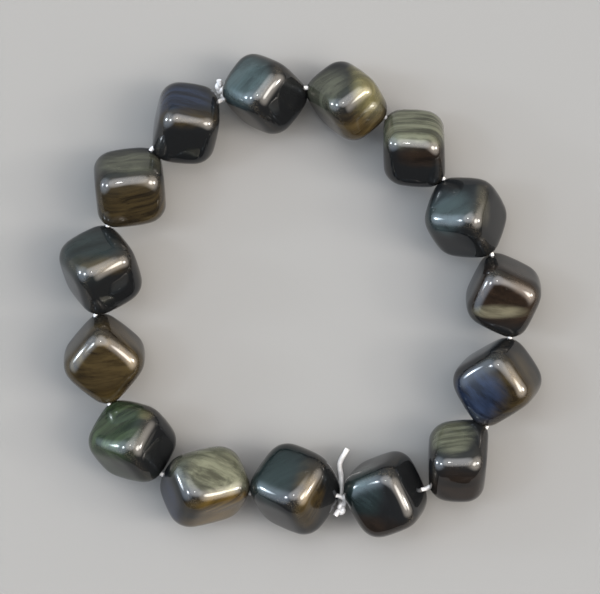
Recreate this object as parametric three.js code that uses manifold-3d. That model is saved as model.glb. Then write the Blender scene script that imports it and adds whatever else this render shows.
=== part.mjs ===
// Bracelet of fifteen tumbled obsidian cubes, each drilled from corner to corner and strung on
// one white elastic cord, lying flat. Millimetres, +Z up. The origin is on the surface that the
// bracelet lies on, under the middle of its outline, and the beads run clockwise from the far side.
import * as THREE from "three";
import { mergeVertices } from "three/addons/utils/BufferGeometryUtils.js";
import Module from "manifold-3d";

const wasm = await Module();
wasm.setup();

// Driving dimensions
const BEAD_EDGE_ROUND = 0.23; // edge radius as a share of the cube's mean side
const BEAD_CROWN = 0.1; // how far a face swells towards a ball
const BEAD_CROWN_BALL = 1.2; // that ball's radius as a share of the half side
const BEAD_CORNER_WEAR = 0.12; // extra wear where three faces meet
const BEAD_CELLS = 6; // facets along one side of a cube
const BEAD_FLAT_LINE = 1 / 3; // the evenly spaced grid line that is moved out to the flat's edge
const REST_FLAT_DEPTH = 0.12; // how much of the lowest point is worn flat
const HOLE_RADIUS = 0.8;
const HOLE_SIDES = 6;
const HOLE_MOUTH_RADIUS = 1.7; // the mouths are chipped out to this, half way to the next bead
const HOLE_MOUTH_DEPTH = 1.3; // how far back from there a mouth narrows to the hole
const DRILL_LENGTH = 24; // longer than any bead, so the bit comes out at both ends
const SURFACE_BLOCK = 30; // wider and deeper than any bead, to wear its lowest point flat
const CORD_RADIUS = 0.4;
const CORD_SIDES = 6;
const CORD_BEND_REACH = 0.4; // how far each way from a half-way point the cord bends
const KNOT_WRAP_RADIUS = 0.44; // from a wrap's middle to the middle of its strand
const KNOT_WRAP_LEANS = [-30, 40]; // degrees that the two wraps of a knot lean over
const KNOT_WRAP_TURNS = [0, 57]; // degrees that they are turned round the knot
const KNOT_WRAP_SHIFTS = [-0.2, 0.2]; // how far they are moved along the knot
const KNOT_WRAP_SIDES = [4, 7]; // facets round the strand of a wrap, and along it
const NEAR_KNOT_AFTER = 8; // the near knot comes after this many beads
const FAR_KNOT_AFTER = 15;

// The two places where the cord is tied, and the cut tails that leave them
const KNOT_NEAR = [5.9, -31.0, 4.6]; // between the eighth and ninth beads
const KNOT_FAR = [-11.8, 30.2, 3.5]; // between the fifteenth and first beads
const DROP_TO_KNOT_NEAR = [[6.4, -29.8, 5.5]]; // how the strands come down to each knot
const DROP_TO_KNOT_FAR = [[-11.35, 28.5, 4.1], [-11.5, 29.3, 3.6]];
const TAILS = [
  [KNOT_NEAR, [5.8, -29.5, 2.9], [5.9, -28, 2.3], [5.9, -26.4, 2.3], [5.7, -24.6, 2.6], [6.8, -22.4, 2.9]],
  [KNOT_NEAR, [5.4, -31.4, 5], [5, -32, 5.1]],
  [KNOT_FAR, [-11.8, 30.7, 4.4], [-11.9, 31.3, 4.8]],
];

// Finishes
const OBSIDIAN_BLACK = 0x0b0c0d;
const OBSIDIAN_GOLD = 0x2b2415;
const ELASTIC_WHITE = 0xe8e6e2;
const POLISHED_GLASS_ROUGHNESS = 0.05;
const ELASTIC_ROUGHNESS = 0.4;

// Points of a mesh that are closer than this are one point
const SAME_POINT = 1e-4;

// Each bead: where its middle is in plan, the sides of its cube, and how its drilled diagonal runs.
// heading is the diagonal's direction in plan, tilt its rise, and roll the cube's turn about it,
// all in degrees.
const BEADS = [
  { at: [-5.4, 29.2], sides: [10.3, 9.1, 9.4], heading: 0, tilt: -8, roll: 24, tint: OBSIDIAN_BLACK },
  { at: [6.8, 28.2], sides: [9.1, 8.6, 10.2], heading: -14, tilt: -3, roll: 22, tint: OBSIDIAN_GOLD },
  { at: [16.4, 21.4], sides: [9.2, 8.9, 9.3], heading: -56, tilt: 4, roll: 30, tint: OBSIDIAN_GOLD },
  { at: [23.9, 11.3], sides: [9.8, 10.3, 9.9], heading: -57, tilt: 7, roll: -58, tint: OBSIDIAN_BLACK },
  { at: [29.4, 0.1], sides: [9.5, 9.7, 9.8], heading: -74, tilt: 14, roll: 9, tint: OBSIDIAN_BLACK },
  { at: [28.5, -12.3], sides: [10.7, 10.1, 10.2], heading: -109, tilt: 11, roll: 16, tint: OBSIDIAN_BLACK },
  { at: [22.6, -24.2], sides: [8.4, 9.8, 9.8], heading: -126, tilt: -1, roll: -29, tint: OBSIDIAN_GOLD },
  { at: [12.5, -28.8], sides: [10.6, 9.6, 10.5], heading: 172, tilt: 22, roll: -26, tint: OBSIDIAN_BLACK },
  { at: [-0.7, -28.0], sides: [10.4, 10.6, 11.1], heading: 177, tilt: 20, roll: 41, tint: OBSIDIAN_BLACK },
  { at: [-13.9, -27.7], sides: [9.3, 10.7, 11.0], heading: 174, tilt: -28, roll: -22, tint: OBSIDIAN_GOLD },
  { at: [-24.4, -21.1], sides: [9.8, 10.4, 9.7], heading: 116, tilt: -11, roll: -9, tint: OBSIDIAN_GOLD },
  { at: [-28.5, -9.1], sides: [9.2, 10.0, 10.2], heading: 95, tilt: -11, roll: 60, tint: OBSIDIAN_GOLD },
  { at: [-29.0, 3.7], sides: [9.9, 10.4, 10.0], heading: 84, tilt: -8, roll: -19, tint: OBSIDIAN_BLACK },
  { at: [-24.8, 15.7], sides: [10.3, 9.9, 9.4], heading: 61, tilt: -10, roll: -33, tint: OBSIDIAN_GOLD },
  { at: [-16.5, 25.0], sides: [9.0, 10.0, 9.8], heading: 48, tilt: -6, roll: -24, tint: OBSIDIAN_BLACK },
];

// Solids from meshes and back
function toSolid(geometry) {
  const bare = geometry.clone();
  bare.deleteAttribute("normal");
  bare.deleteAttribute("uv");
  const merged = mergeVertices(bare, SAME_POINT);
  const corners = merged.index.array;
  const whole = [];
  for (let i = 0; i < corners.length; i += 3) {
    const [a, b, c] = corners.slice(i, i + 3);
    if (a !== b && b !== c && c !== a) {
      whole.push(a, b, c);
    }
  }
  const mesh = new wasm.Mesh({
    numProp: 3,
    vertProperties: new Float32Array(merged.attributes.position.array),
    triVerts: new Uint32Array(whole),
  });
  return new wasm.Manifold(mesh);
}

function toGeometry(solid) {
  const mesh = solid.getMesh();
  const geometry = new THREE.BufferGeometry();
  geometry.setAttribute("position", new THREE.BufferAttribute(mesh.vertProperties, 3));
  geometry.setIndex(new THREE.BufferAttribute(mesh.triVerts, 1));
  geometry.computeVertexNormals();
  return geometry;
}

// Moves the evenly spaced grid lines of a cube out to where its rounding is
function cellStep(share, roundShare) {
  const flat = 1 - 2 * roundShare;
  if (Math.abs(share) <= BEAD_FLAT_LINE) {
    return (share / BEAD_FLAT_LINE) * flat;
  }
  const along = (Math.abs(share) - BEAD_FLAT_LINE) / (1 - BEAD_FLAT_LINE);
  return Math.sign(share) * (flat + (1 - flat) * along);
}

// A cube rounded by tumbling: rounded edges, faces a little domed, corners worn most
function tumbledCube(sides) {
  const half = new THREE.Vector3(...sides).multiplyScalar(0.5);
  const meanHalf = (half.x + half.y + half.z) / 3;
  const round = BEAD_EDGE_ROUND * 2 * meanHalf;
  const inner = half.clone().subScalar(round);
  const geometry = new THREE.BoxGeometry(2, 2, 2, BEAD_CELLS, BEAD_CELLS, BEAD_CELLS);
  const place = geometry.attributes.position;
  const point = new THREE.Vector3();
  const core = new THREE.Vector3();
  for (let i = 0; i < place.count; i += 1) {
    point.fromBufferAttribute(place, i);
    point.set(...point.toArray().map((share) => cellStep(share, BEAD_EDGE_ROUND))).multiply(half);
    core.copy(point).clamp(inner.clone().negate(), inner);
    point.sub(core).setLength(round).add(core);
    const ball = point.clone().setLength(meanHalf * BEAD_CROWN_BALL);
    point.lerp(ball, BEAD_CROWN);
    const cornerness = Math.abs(point.x * point.y * point.z) / (half.x * half.y * half.z);
    point.multiplyScalar(1 - BEAD_CORNER_WEAR * cornerness);
    place.setXYZ(i, point.x, point.y, point.z);
  }
  return geometry;
}

// The turn that lays a cube's body diagonal along +X, with the cube's own Z as far up as it goes
function diagonalTurn() {
  const along = new THREE.Vector3(1, 1, 1).normalize();
  const up = new THREE.Vector3(0, 0, 1).addScaledVector(along, -along.z).normalize();
  const side = new THREE.Vector3().crossVectors(up, along);
  const basis = new THREE.Matrix4().makeBasis(along, side, up).transpose();
  return new THREE.Quaternion().setFromRotationMatrix(basis);
}

function beadTurn({ heading, tilt, roll }) {
  const rad = THREE.MathUtils.degToRad;
  const turn = new THREE.Quaternion().setFromAxisAngle(new THREE.Vector3(0, 0, 1), rad(heading));
  turn.multiply(new THREE.Quaternion().setFromAxisAngle(new THREE.Vector3(0, 1, 0), rad(-tilt)));
  turn.multiply(new THREE.Quaternion().setFromAxisAngle(new THREE.Vector3(1, 0, 0), rad(roll)));
  return turn.multiply(diagonalTurn());
}

// Every bead is turned, and stands with its lowest point worn flat on the surface
const stones = BEADS.map((bead) => {
  const shape = tumbledCube(bead.sides).applyQuaternion(beadTurn(bead));
  shape.computeBoundingBox();
  const floor = shape.boundingBox.min.z + REST_FLAT_DEPTH;
  const centre = new THREE.Vector3(bead.at[0], bead.at[1], -floor);
  return { ...bead, shape, floor, centre };
});

// The beads stand in a ring, so each has one before it and one after it
const stoneAt = (place) => stones[(place + stones.length) % stones.length];
const crossing = stones.map((stone, i) => {
  const pastNeighbours = stoneAt(i + 1).centre.clone().sub(stoneAt(i - 1).centre);
  return pastNeighbours.normalize();
});

// Half way between two beads the cord passes where both their crossing lines come closest
stones.forEach((one, i) => {
  const two = stoneAt(i + 1);
  const halfWay = one.centre.distanceTo(two.centre) / 2;
  const pastOne = one.centre.clone().addScaledVector(crossing[i], halfWay);
  const beforeTwo = two.centre.clone().addScaledVector(crossing[(i + 1) % stones.length], -halfWay);
  one.cordLeaves = pastOne.add(beforeTwo).multiplyScalar(0.5);
  two.cordEnters = one.cordLeaves;
});

// Each hole is straight, from the one half-way point to the next
stones.forEach((stone) => {
  stone.along = stone.cordLeaves.clone().sub(stone.cordEnters).normalize();
  stone.holeMiddle = stone.cordLeaves.clone().add(stone.cordEnters).multiplyScalar(0.5);
});

// The drill's own shape: a straight bit that widens to a chipped mouth at each end
function drill({ along, holeMiddle, centre, cordEnters, cordLeaves }) {
  const mouth = cordEnters.distanceTo(cordLeaves) / 2;
  const neck = mouth - HOLE_MOUTH_DEPTH;
  const end = DRILL_LENGTH / 2;
  const profile = [
    [0, -end],
    [HOLE_MOUTH_RADIUS, -end],
    [HOLE_MOUTH_RADIUS, -mouth],
    [HOLE_RADIUS, -neck],
    [HOLE_RADIUS, neck],
    [HOLE_MOUTH_RADIUS, mouth],
    [HOLE_MOUTH_RADIUS, end],
    [0, end],
  ].map(([radius, height]) => new THREE.Vector2(radius, height));
  const turn = new THREE.Quaternion().setFromUnitVectors(new THREE.Vector3(0, 1, 0), along);
  const bit = new THREE.LatheGeometry(profile, HOLE_SIDES).applyQuaternion(turn);
  return toSolid(bit.translate(...holeMiddle.clone().sub(centre)));
}

// What lies below the surface that a bead rests on
function surfaceBelow(floor) {
  const block = new THREE.BoxGeometry(SURFACE_BLOCK, SURFACE_BLOCK, SURFACE_BLOCK);
  return toSolid(block.translate(0, 0, floor - SURFACE_BLOCK / 2));
}

// The beads
const bracelet = new THREE.Group();
stones.forEach((stone, i) => {
  const solid = toSolid(stone.shape).subtract(drill(stone)).subtract(surfaceBelow(stone.floor));
  const material = new THREE.MeshStandardMaterial({
    color: stone.tint,
    roughness: POLISHED_GLASS_ROUGHNESS,
    metalness: 0,
  });
  const mesh = new THREE.Mesh(toGeometry(solid), material);
  mesh.name = `bead_${String(i + 1).padStart(2, "0")}`;
  mesh.position.copy(stone.centre);
  bracelet.add(mesh);
});

// A route whose steps fall exactly on its listed points
class StringingRoute extends THREE.Curve {
  constructor(points) {
    super();
    this.points = points;
  }

  getUtoTmapping(share) {
    return share;
  }

  getPoint(share) {
    const last = this.points.length - 1;
    const place = Math.min(Math.floor(share * last + SAME_POINT), last - 1);
    return this.points[place].clone().lerp(this.points[place + 1], share * last - place);
  }

  getTangent(share) {
    const last = this.points.length - 1;
    const place = Math.round(share * last);
    const here = this.points[place];
    const tangent = new THREE.Vector3();
    if (place > 0) {
      tangent.add(here.clone().sub(this.points[place - 1]).normalize());
    }
    if (place < last) {
      tangent.add(this.points[place + 1].clone().sub(here).normalize());
    }
    return tangent.normalize();
  }
}

// One closed tube of cord along a route
function strand(points) {
  const section = new THREE.Shape();
  for (let i = 0; i < CORD_SIDES; i += 1) {
    const angle = (i / CORD_SIDES) * 2 * Math.PI;
    const corner = [CORD_RADIUS * Math.cos(angle), CORD_RADIUS * Math.sin(angle)];
    if (i === 0) {
      section.moveTo(...corner);
    } else {
      section.lineTo(...corner);
    }
  }
  section.closePath();
  const extrudePath = new StringingRoute(points);
  const steps = points.length - 1;
  return toSolid(new THREE.ExtrudeGeometry(section, { extrudePath, steps, bevelEnabled: false }));
}

// A tight knot: two wraps of the cord that lean across each other round a filled middle
function knot(at, along) {
  const turn = new THREE.Quaternion().setFromUnitVectors(new THREE.Vector3(1, 0, 0), along);
  let lump = toSolid(new THREE.IcosahedronGeometry(KNOT_WRAP_RADIUS + CORD_RADIUS / 2, 0));
  KNOT_WRAP_LEANS.forEach((lean, i) => {
    const wrap = new THREE.TorusGeometry(KNOT_WRAP_RADIUS, CORD_RADIUS, ...KNOT_WRAP_SIDES);
    wrap.rotateY(Math.PI / 2);
    wrap.rotateZ(THREE.MathUtils.degToRad(lean));
    wrap.rotateX(THREE.MathUtils.degToRad(KNOT_WRAP_TURNS[i]));
    wrap.translate(KNOT_WRAP_SHIFTS[i], 0, 0);
    lump = lump.add(toSolid(wrap));
  });
  const placed = toGeometry(lump).applyQuaternion(turn);
  placed.translate(...at);
  return toSolid(placed);
}

// Two lengths of the cord join the knots: through the beads after the near knot, and through the
// beads after the far one
const toPoint = (values) => new THREE.Vector3(...values);
const nearEnd = [KNOT_NEAR, ...DROP_TO_KNOT_NEAR.toReversed()].map(toPoint);
const farEnd = [KNOT_FAR, ...DROP_TO_KNOT_FAR.toReversed()].map(toPoint);

function threaded(threadedStones) {
  return threadedStones.flatMap(({ cordEnters, cordLeaves, along }) => [
    cordEnters.clone().addScaledVector(along, CORD_BEND_REACH),
    cordLeaves.clone().addScaledVector(along, -CORD_BEND_REACH),
  ]);
}

const afterNear = threaded(stones.slice(NEAR_KNOT_AFTER, FAR_KNOT_AFTER));
const afterFar = threaded(stones.slice(0, NEAR_KNOT_AFTER));
const acrossAfter = (count) => stoneAt(count).centre.clone().sub(stoneAt(count - 1).centre).normalize();
let cord = strand([...nearEnd, ...afterNear, ...farEnd.toReversed()]);
cord = cord.add(strand([...farEnd, ...afterFar, ...nearEnd.toReversed()]));
cord = cord.add(knot(KNOT_NEAR, acrossAfter(NEAR_KNOT_AFTER)));
cord = cord.add(knot(KNOT_FAR, acrossAfter(FAR_KNOT_AFTER)));
TAILS.forEach((tail) => {
  cord = cord.add(strand(tail.map(toPoint)));
});
const elastic = new THREE.MeshStandardMaterial({
  color: ELASTIC_WHITE,
  roughness: ELASTIC_ROUGHNESS,
  metalness: 0,
});
const cordMesh = new THREE.Mesh(toGeometry(cord), elastic);
cordMesh.name = "elastic_cord";
bracelet.add(cordMesh);

export default bracelet;
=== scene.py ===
# %% [markdown]
# A bracelet of tumbled obsidian. Fifteen chunks of black volcanic glass were tumbled until their
# cubes went round, drilled corner to corner and strung on a thin white elastic cord. The solids of
# every bead are already there as a fixed frame, so this lesson gives them a polished surface, the
# stone's own gold sheen and a cord that looks like elastic. Everything is in metres, but the sizes
# of the beads are easier to read in millimetres, so they are written that way and scaled once.

# %% Load the frame
import math

import bpy
from mathutils import Matrix, Vector


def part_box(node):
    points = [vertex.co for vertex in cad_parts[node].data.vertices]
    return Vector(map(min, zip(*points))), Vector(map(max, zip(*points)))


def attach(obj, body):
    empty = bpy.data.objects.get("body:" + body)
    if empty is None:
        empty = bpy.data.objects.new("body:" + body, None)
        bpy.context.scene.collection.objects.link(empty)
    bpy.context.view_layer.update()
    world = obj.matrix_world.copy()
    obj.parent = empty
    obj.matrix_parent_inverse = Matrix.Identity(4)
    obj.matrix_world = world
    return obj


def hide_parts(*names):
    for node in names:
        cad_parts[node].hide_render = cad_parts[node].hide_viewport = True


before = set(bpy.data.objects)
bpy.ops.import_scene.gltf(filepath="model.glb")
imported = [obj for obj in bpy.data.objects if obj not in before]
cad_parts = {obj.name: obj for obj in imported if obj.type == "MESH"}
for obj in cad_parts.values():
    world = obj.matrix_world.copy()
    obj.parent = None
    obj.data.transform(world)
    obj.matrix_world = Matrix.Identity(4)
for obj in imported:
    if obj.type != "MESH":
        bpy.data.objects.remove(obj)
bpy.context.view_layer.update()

MM = 0.001
print("nodes in the frame:", len(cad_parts))

# %% [markdown]
# The camera comes first. The bracelet was seen from straight above, and its outer beads show no
# more of their outer sides than of their inner ones, so the camera stood far off. A long lens does
# the same: the width of the picture is the width of the sensor times the distance over the lens.

# %% Camera straight above
PICTURE_PIXELS = (600, 594)
PIXELS_PER_MM = 6.9
RING_MIDDLE_PIXEL = (300.8, 295.4)  # where the object's origin falls in the picture
LENS_MM = 180
SENSOR_MM = 36
BEAD_MIDDLE_HEIGHT = 6.0  # millimetres above the surface
NEAR_CLIP = 0.01  # metres; nothing nearer is drawn, and nothing past FAR_CLIP
FAR_CLIP = 10


def new_object(name, data):
    """A new object in the scene, at the origin."""
    made = bpy.data.objects.new(name, data)
    bpy.context.scene.collection.objects.link(made)
    return made


view_width = PICTURE_PIXELS[0] / PIXELS_PER_MM
camera_data = bpy.data.cameras.new("camera_above")
camera_data.lens = LENS_MM
camera_data.sensor_width = SENSOR_MM
camera_data.clip_start = NEAR_CLIP
camera_data.clip_end = FAR_CLIP
camera = new_object("camera_above", camera_data)
aim_x = (PICTURE_PIXELS[0] / 2 - RING_MIDDLE_PIXEL[0]) / PIXELS_PER_MM
aim_y = (RING_MIDDLE_PIXEL[1] - PICTURE_PIXELS[1] / 2) / PIXELS_PER_MM
camera_height = BEAD_MIDDLE_HEIGHT + view_width * LENS_MM / SENSOR_MM
camera.location = (aim_x * MM, aim_y * MM, camera_height * MM)
bpy.context.scene.camera = camera
print("the picture is", round(view_width, 1), "mm wide, from", round(camera_height), "mm up")

# %% [markdown]
# Each bead is a cube that was tumbled in grit: its edges are round, its faces swell a little and
# its corners are worn most. One rule makes all fifteen, so a small table says what differs: where
# a bead lies, the sides of its cube, and how its drilled diagonal runs. The heading is the
# diagonal's direction seen from above, the tilt is its rise, and the roll turns the cube about it.

# %% The fifteen beads
BEAD_COLUMNS = ("at", "sides", "heading", "tilt", "roll")
BEAD_ROWS = [
    ((-5.4, 29.2), (10.3, 9.1, 9.4), 0, -8, 24),
    ((6.8, 28.2), (9.1, 8.6, 10.2), -14, -3, 22),
    ((16.4, 21.4), (9.2, 8.9, 9.3), -56, 4, 30),
    ((23.9, 11.3), (9.8, 10.3, 9.9), -57, 7, -58),
    ((29.4, 0.1), (9.5, 9.7, 9.8), -74, 14, 9),
    ((28.5, -12.3), (10.7, 10.1, 10.2), -109, 11, 16),
    ((22.6, -24.2), (8.4, 9.8, 9.8), -126, -1, -29),
    ((12.5, -28.8), (10.6, 9.6, 10.5), 172, 22, -26),
    ((-0.7, -28.0), (10.4, 10.6, 11.1), 177, 20, 41),
    ((-13.9, -27.7), (9.3, 10.7, 11.0), 174, -28, -22),
    ((-24.4, -21.1), (9.8, 10.4, 9.7), 116, -11, -9),
    ((-28.5, -9.1), (9.2, 10.0, 10.2), 95, -11, 60),
    ((-29.0, 3.7), (9.9, 10.4, 10.0), 84, -8, -19),
    ((-24.8, 15.7), (10.3, 9.9, 9.4), 61, -10, -33),
    ((-16.5, 25.0), (9.0, 10.0, 9.8), 48, -6, -24),
]
EDGE_ROUND = 0.275  # edge radius as a share of the cube's mean side
CROWN = 0.1  # how far a face swells towards a ball
CROWN_BALL = 1.2  # that ball's radius as a share of the half side
CORNER_WEAR = 0.12  # share of the radius that a cube's very corner would lose
REST_FLAT = 0.12  # how much of the lowest point is worn flat, in millimetres
BEADS = [dict(zip(BEAD_COLUMNS, row)) for row in BEAD_ROWS]


def diagonal_turn():
    """Lays a cube's body diagonal along +X, with the cube's own Z as far up as it goes."""
    along = Vector((1, 1, 1)).normalized()
    up = (Vector((0, 0, 1)) - along * along.z).normalized()
    return Matrix((along, up.cross(along), up))


def bead_turn(bead):
    """The turn from a cube that stands square to the bead as it lies."""
    turn = Matrix.Rotation(math.radians(bead["heading"]), 3, "Z")
    turn = turn @ Matrix.Rotation(math.radians(-bead["tilt"]), 3, "Y")
    turn = turn @ Matrix.Rotation(math.radians(bead["roll"]), 3, "X")
    return turn @ diagonal_turn()


for number, bead in enumerate(BEADS, 1):
    bead["node"] = f"bead_{number:02d}"
    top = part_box(bead["node"])[1][2] / MM
    bead["middle"] = Vector((*bead["at"], (top - REST_FLAT) / 2))
    bead["turn"] = bead_turn(bead)
print("bead middles stand", round(min(b["middle"].z for b in BEADS), 2), "to",
      round(max(b["middle"].z for b in BEADS), 2), "mm up")

# %% [markdown]
# The hole of each bead runs from half way to the bead before it to half way to the bead after it,
# so the cord goes straight through every stone and only bends in the gaps.

# %% Where the cord passes between the beads
def neighbour(place):
    return BEADS[place % len(BEADS)]


for place, bead in enumerate(BEADS):
    bead["crossing"] = (neighbour(place + 1)["middle"] - neighbour(place - 1)["middle"]).normalized()
for place, one in enumerate(BEADS):
    two = neighbour(place + 1)
    half_way = (one["middle"] - two["middle"]).length / 2
    past_one = one["middle"] + one["crossing"] * half_way
    before_two = two["middle"] - two["crossing"] * half_way
    one["cord_leaves"] = two["cord_enters"] = (past_one + before_two) / 2
pitch = [(b["cord_leaves"] - b["cord_enters"]).length for b in BEADS]
print("the strung length round the ring is", round(sum(pitch), 1), "mm")

# %% [markdown]
# Geometry Nodes suit a shape that follows a rule. A long chain of maths nodes is hard to read as
# boxes and wires, so a small helper adds each node and wires its inputs in one call.

# %% A helper that wires nodes
class Wires:
    """Adds nodes to a tree, links or sets their inputs and gives one of their outputs."""

    def __init__(self, tree):
        self.tree = tree

    def feed(self, socket, value):
        if isinstance(value, bpy.types.NodeSocket):
            self.tree.links.new(value, socket)
        elif value is not None:
            socket.default_value = value

    def fill(self, node, inputs):
        for name, value in inputs.items():
            self.feed(node.inputs[name], value)

    def named(self, kind, inputs, out=0, **settings):
        """Adds a node whose inputs are given by name."""
        node = self.tree.nodes.new(kind)
        for name, value in settings.items():
            setattr(node, name, value)
        self.fill(node, inputs)
        return node.outputs[out]

    def add(self, kind, *inputs, out=0, **settings):
        """Adds a node whose inputs are given in their order."""
        return self.named(kind, dict(enumerate(inputs)), out, **settings)

    def number(self, operation, *inputs):
        return self.add("ShaderNodeMath", *inputs, operation=operation)

    def vector(self, operation, *inputs):
        out = 1 if operation == "LENGTH" or operation == "DOT_PRODUCT" else 0
        return self.add("ShaderNodeVectorMath", *inputs, out=out, operation=operation)

    def scaled(self, vector, factor):
        inputs = {"Vector": vector, "Scale": factor}
        return self.named("ShaderNodeVectorMath", inputs, operation="SCALE")

    def split(self, vector):
        return self.add("ShaderNodeSeparateXYZ", vector).node.outputs

    def ramped(self, value, low, high, to_low=0.0, to_high=1.0):
        """A soft step from to_low, where the value is low or less, to to_high."""
        return self.named("ShaderNodeMapRange", {
            "Value": value, "From Min": low, "From Max": high, "To Min": to_low, "To Max": to_high,
        }, interpolation_type="SMOOTHSTEP")


def tree_with_inputs(name, inputs):
    """A geometry tree with named inputs, the sockets that they come in by, and its helper."""
    tree = bpy.data.node_groups.new(name, "GeometryNodeTree")
    tree.interface.new_socket("Geometry", in_out="INPUT", socket_type="NodeSocketGeometry")
    for label, kind in inputs:
        tree.interface.new_socket(label, in_out="INPUT", socket_type=kind)
    tree.interface.new_socket("Geometry", in_out="OUTPUT", socket_type="NodeSocketGeometry")
    given = tree.nodes.new("NodeGroupInput").outputs
    return tree, given, Wires(tree)


def end_tree(wires, geometry, material):
    """Makes instances real, gives the material and hands the mesh out of the tree."""
    realized = wires.add("GeometryNodeRealizeInstances", geometry)
    finished = {"Geometry": realized, "Material": material}
    way_out = wires.tree.nodes.new("NodeGroupOutput")
    wires.feed(way_out.inputs[0], wires.named("GeometryNodeSetMaterial", finished))


print("the helper has", [name for name in vars(Wires) if not name.startswith("_")])

# %% [markdown]
# The bead tree starts from a cube whose sides are cut in many small squares. Every point is pulled
# back to a smaller core, pushed out again by the edge radius, eased towards a ball, and worn where
# all three faces meet. Slow noise takes off a little more, as no tumbled stone is quite even.

# %% The rule for a tumbled bead
bead_tree, given, wires = tree_with_inputs("tumbled_bead", [
    ("Half sides", "NodeSocketVector"),
    ("Edge radius", "NodeSocketFloat"),
    ("Ball radius", "NodeSocketFloat"),
    ("Cells", "NodeSocketInt"),
    ("Seed", "NodeSocketFloat"),
    ("Middle", "NodeSocketVector"),
    ("Turn", "NodeSocketVector"),
    ("Hole middle", "NodeSocketVector"),
    ("Hole direction", "NodeSocketVector"),
    ("Hole half length", "NodeSocketFloat"),
    ("Reach ahead", "NodeSocketFloat"),
    ("Reach behind", "NodeSocketFloat"),
    ("Material", "NodeSocketMaterial"),
])
DISH_DEPTH = 0.15  # how far a face's round flat lies below its rim, in millimetres
DISH_FULL = 0.1  # the flat has its full depth up to this distance, as the cubes below count it
DISH_ENDS = 0.32  # and the rim has its full height from here on
UNEVEN_DEPTH = 0.02  # share of the radius that the slow noise takes off
UNEVEN_SCALE = 0.12  # waves of that noise to a millimetre

cube = wires.add("GeometryNodeMeshCube", (2.0, 2.0, 2.0), *[given["Cells"]] * 3)
half = given["Half sides"]
radius = given["Edge radius"]
point = wires.vector("MULTIPLY", wires.add("GeometryNodeInputPosition"), half)
inner = wires.vector("SUBTRACT", half, radius)
core = wires.vector("MAXIMUM", wires.vector("MINIMUM", point, inner), wires.scaled(inner, -1.0))
outward = wires.vector("NORMALIZE", wires.vector("SUBTRACT", point, core))

# On a face one share of the half side is 1, so the sum of the cubes says how far the point is from
# the middle of its face, and lines of one distance are rounded squares.
shares = wires.vector("ABSOLUTE", wires.add("GeometryNodeInputPosition"))
cubes = wires.vector("DOT_PRODUCT", wires.vector("POWER", shares, (3, 3, 3)), (1, 1, 1))
from_middle = wires.number("SUBTRACT", cubes, 1.0)

# The point is held a little short of the full radius there, which leaves a shallow flat.
dish = wires.ramped(from_middle, DISH_FULL, DISH_ENDS, DISH_DEPTH, 0.0)
reach = wires.number("SUBTRACT", radius, dish)

# From the core out to that reach, then a little towards a ball.
rounded = wires.vector("ADD", core, wires.scaled(outward, reach))
ball = wires.scaled(wires.vector("NORMALIZE", rounded), given["Ball radius"])
crowned = wires.vector("ADD", wires.scaled(rounded, 1 - CROWN), wires.scaled(ball, CROWN))

# Only at a corner are all three shares of the half sides large at once, so the wear goes there.
share = wires.split(wires.vector("ABSOLUTE", wires.vector("DIVIDE", crowned, half)))
area_share = wires.number("MULTIPLY", share[0], share[1])
volume_share = wires.number("MULTIPLY", area_share, share[2])
cornerness = wires.number("MULTIPLY", volume_share, volume_share)
wear = wires.number("MULTIPLY", cornerness, CORNER_WEAR)
worn = wires.scaled(crowned, wires.number("SUBTRACT", 1.0, wear))

# The seed is the noise's fourth direction, so every bead has its own.
noise = wires.named("ShaderNodeTexNoise", {
    "Vector": worn, "W": given["Seed"], "Scale": UNEVEN_SCALE, "Detail": 0.0,
}, noise_dimensions="4D")
loss = wires.number("MULTIPLY", noise, UNEVEN_DEPTH)
uneven = wires.scaled(worn, wires.number("SUBTRACT", 1.0, loss))
print("the bead rule has", len(bead_tree.nodes), "nodes so far")

# %% [markdown]
# Wear along the edges is paint work later on, so the tree keeps a number for it. The direction in
# which a point was pushed out tells how close it is to an edge: on a face one axis holds it all, on
# an edge two share it, on a corner three.

# %% Keep how close each point is to an edge
leans = wires.split(wires.vector("ABSOLUTE", outward))
largest = wires.number("MAXIMUM", wires.number("MAXIMUM", leans[0], leans[1]), leans[2])
edgeness = wires.number("SUBTRACT", 1.0, largest)


def keep_number(geometry, name, value):
    """Stores a number on every point under a name that a material can read."""
    inputs = {"Geometry": geometry, "Name": name, "Value": value}
    return wires.named("GeometryNodeStoreNamedAttribute", inputs, data_type="FLOAT", domain="POINT")


def move_points(geometry, place):
    return wires.named("GeometryNodeSetPosition", {"Geometry": geometry, "Position": place})


marked = keep_number(wires.add("GeometryNodeSetShadeSmooth", cube), "edge_wear", edgeness)
shaped = move_points(marked, uneven)
print("the wear number runs from 0 on a face to", round(1 - 0.5 ** 0.5, 2), "on an edge",
      "and", round(1 - 3 ** -0.5, 2), "on a corner")

# %% [markdown]
# A radius that starts and stops at once shows in polished glass as a hard line in every reflection.
# Tumbling leaves no such line. So each point is moved to the middle of its neighbours, many times,
# which eases every radius into the faces beside it.

# %% Ease the radii into the faces
EASING_STEPS = 24
easing = wires.tree.nodes.new("GeometryNodeBlurAttribute")
easing.data_type = "FLOAT_VECTOR"
value_sockets = [socket for socket in easing.inputs if socket.name == "Value" and socket.enabled]
wires.feed(value_sockets[0], wires.add("GeometryNodeInputPosition"))
easing.inputs["Iterations"].default_value = EASING_STEPS
eased = [socket for socket in easing.outputs if socket.enabled][0]
shaped = move_points(shaped, eased)
print("the easing moves each point", EASING_STEPS, "times")

# %% [markdown]
# The rule makes every stone upright at the origin. Now it is laid where its bead belongs.

# %% Lay the stone in its place
def turned(geometry, shift, rotation, scale=None):
    return wires.named("GeometryNodeTransform", {
        "Geometry": geometry, "Translation": shift, "Rotation": rotation, "Scale": scale,
    })


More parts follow.
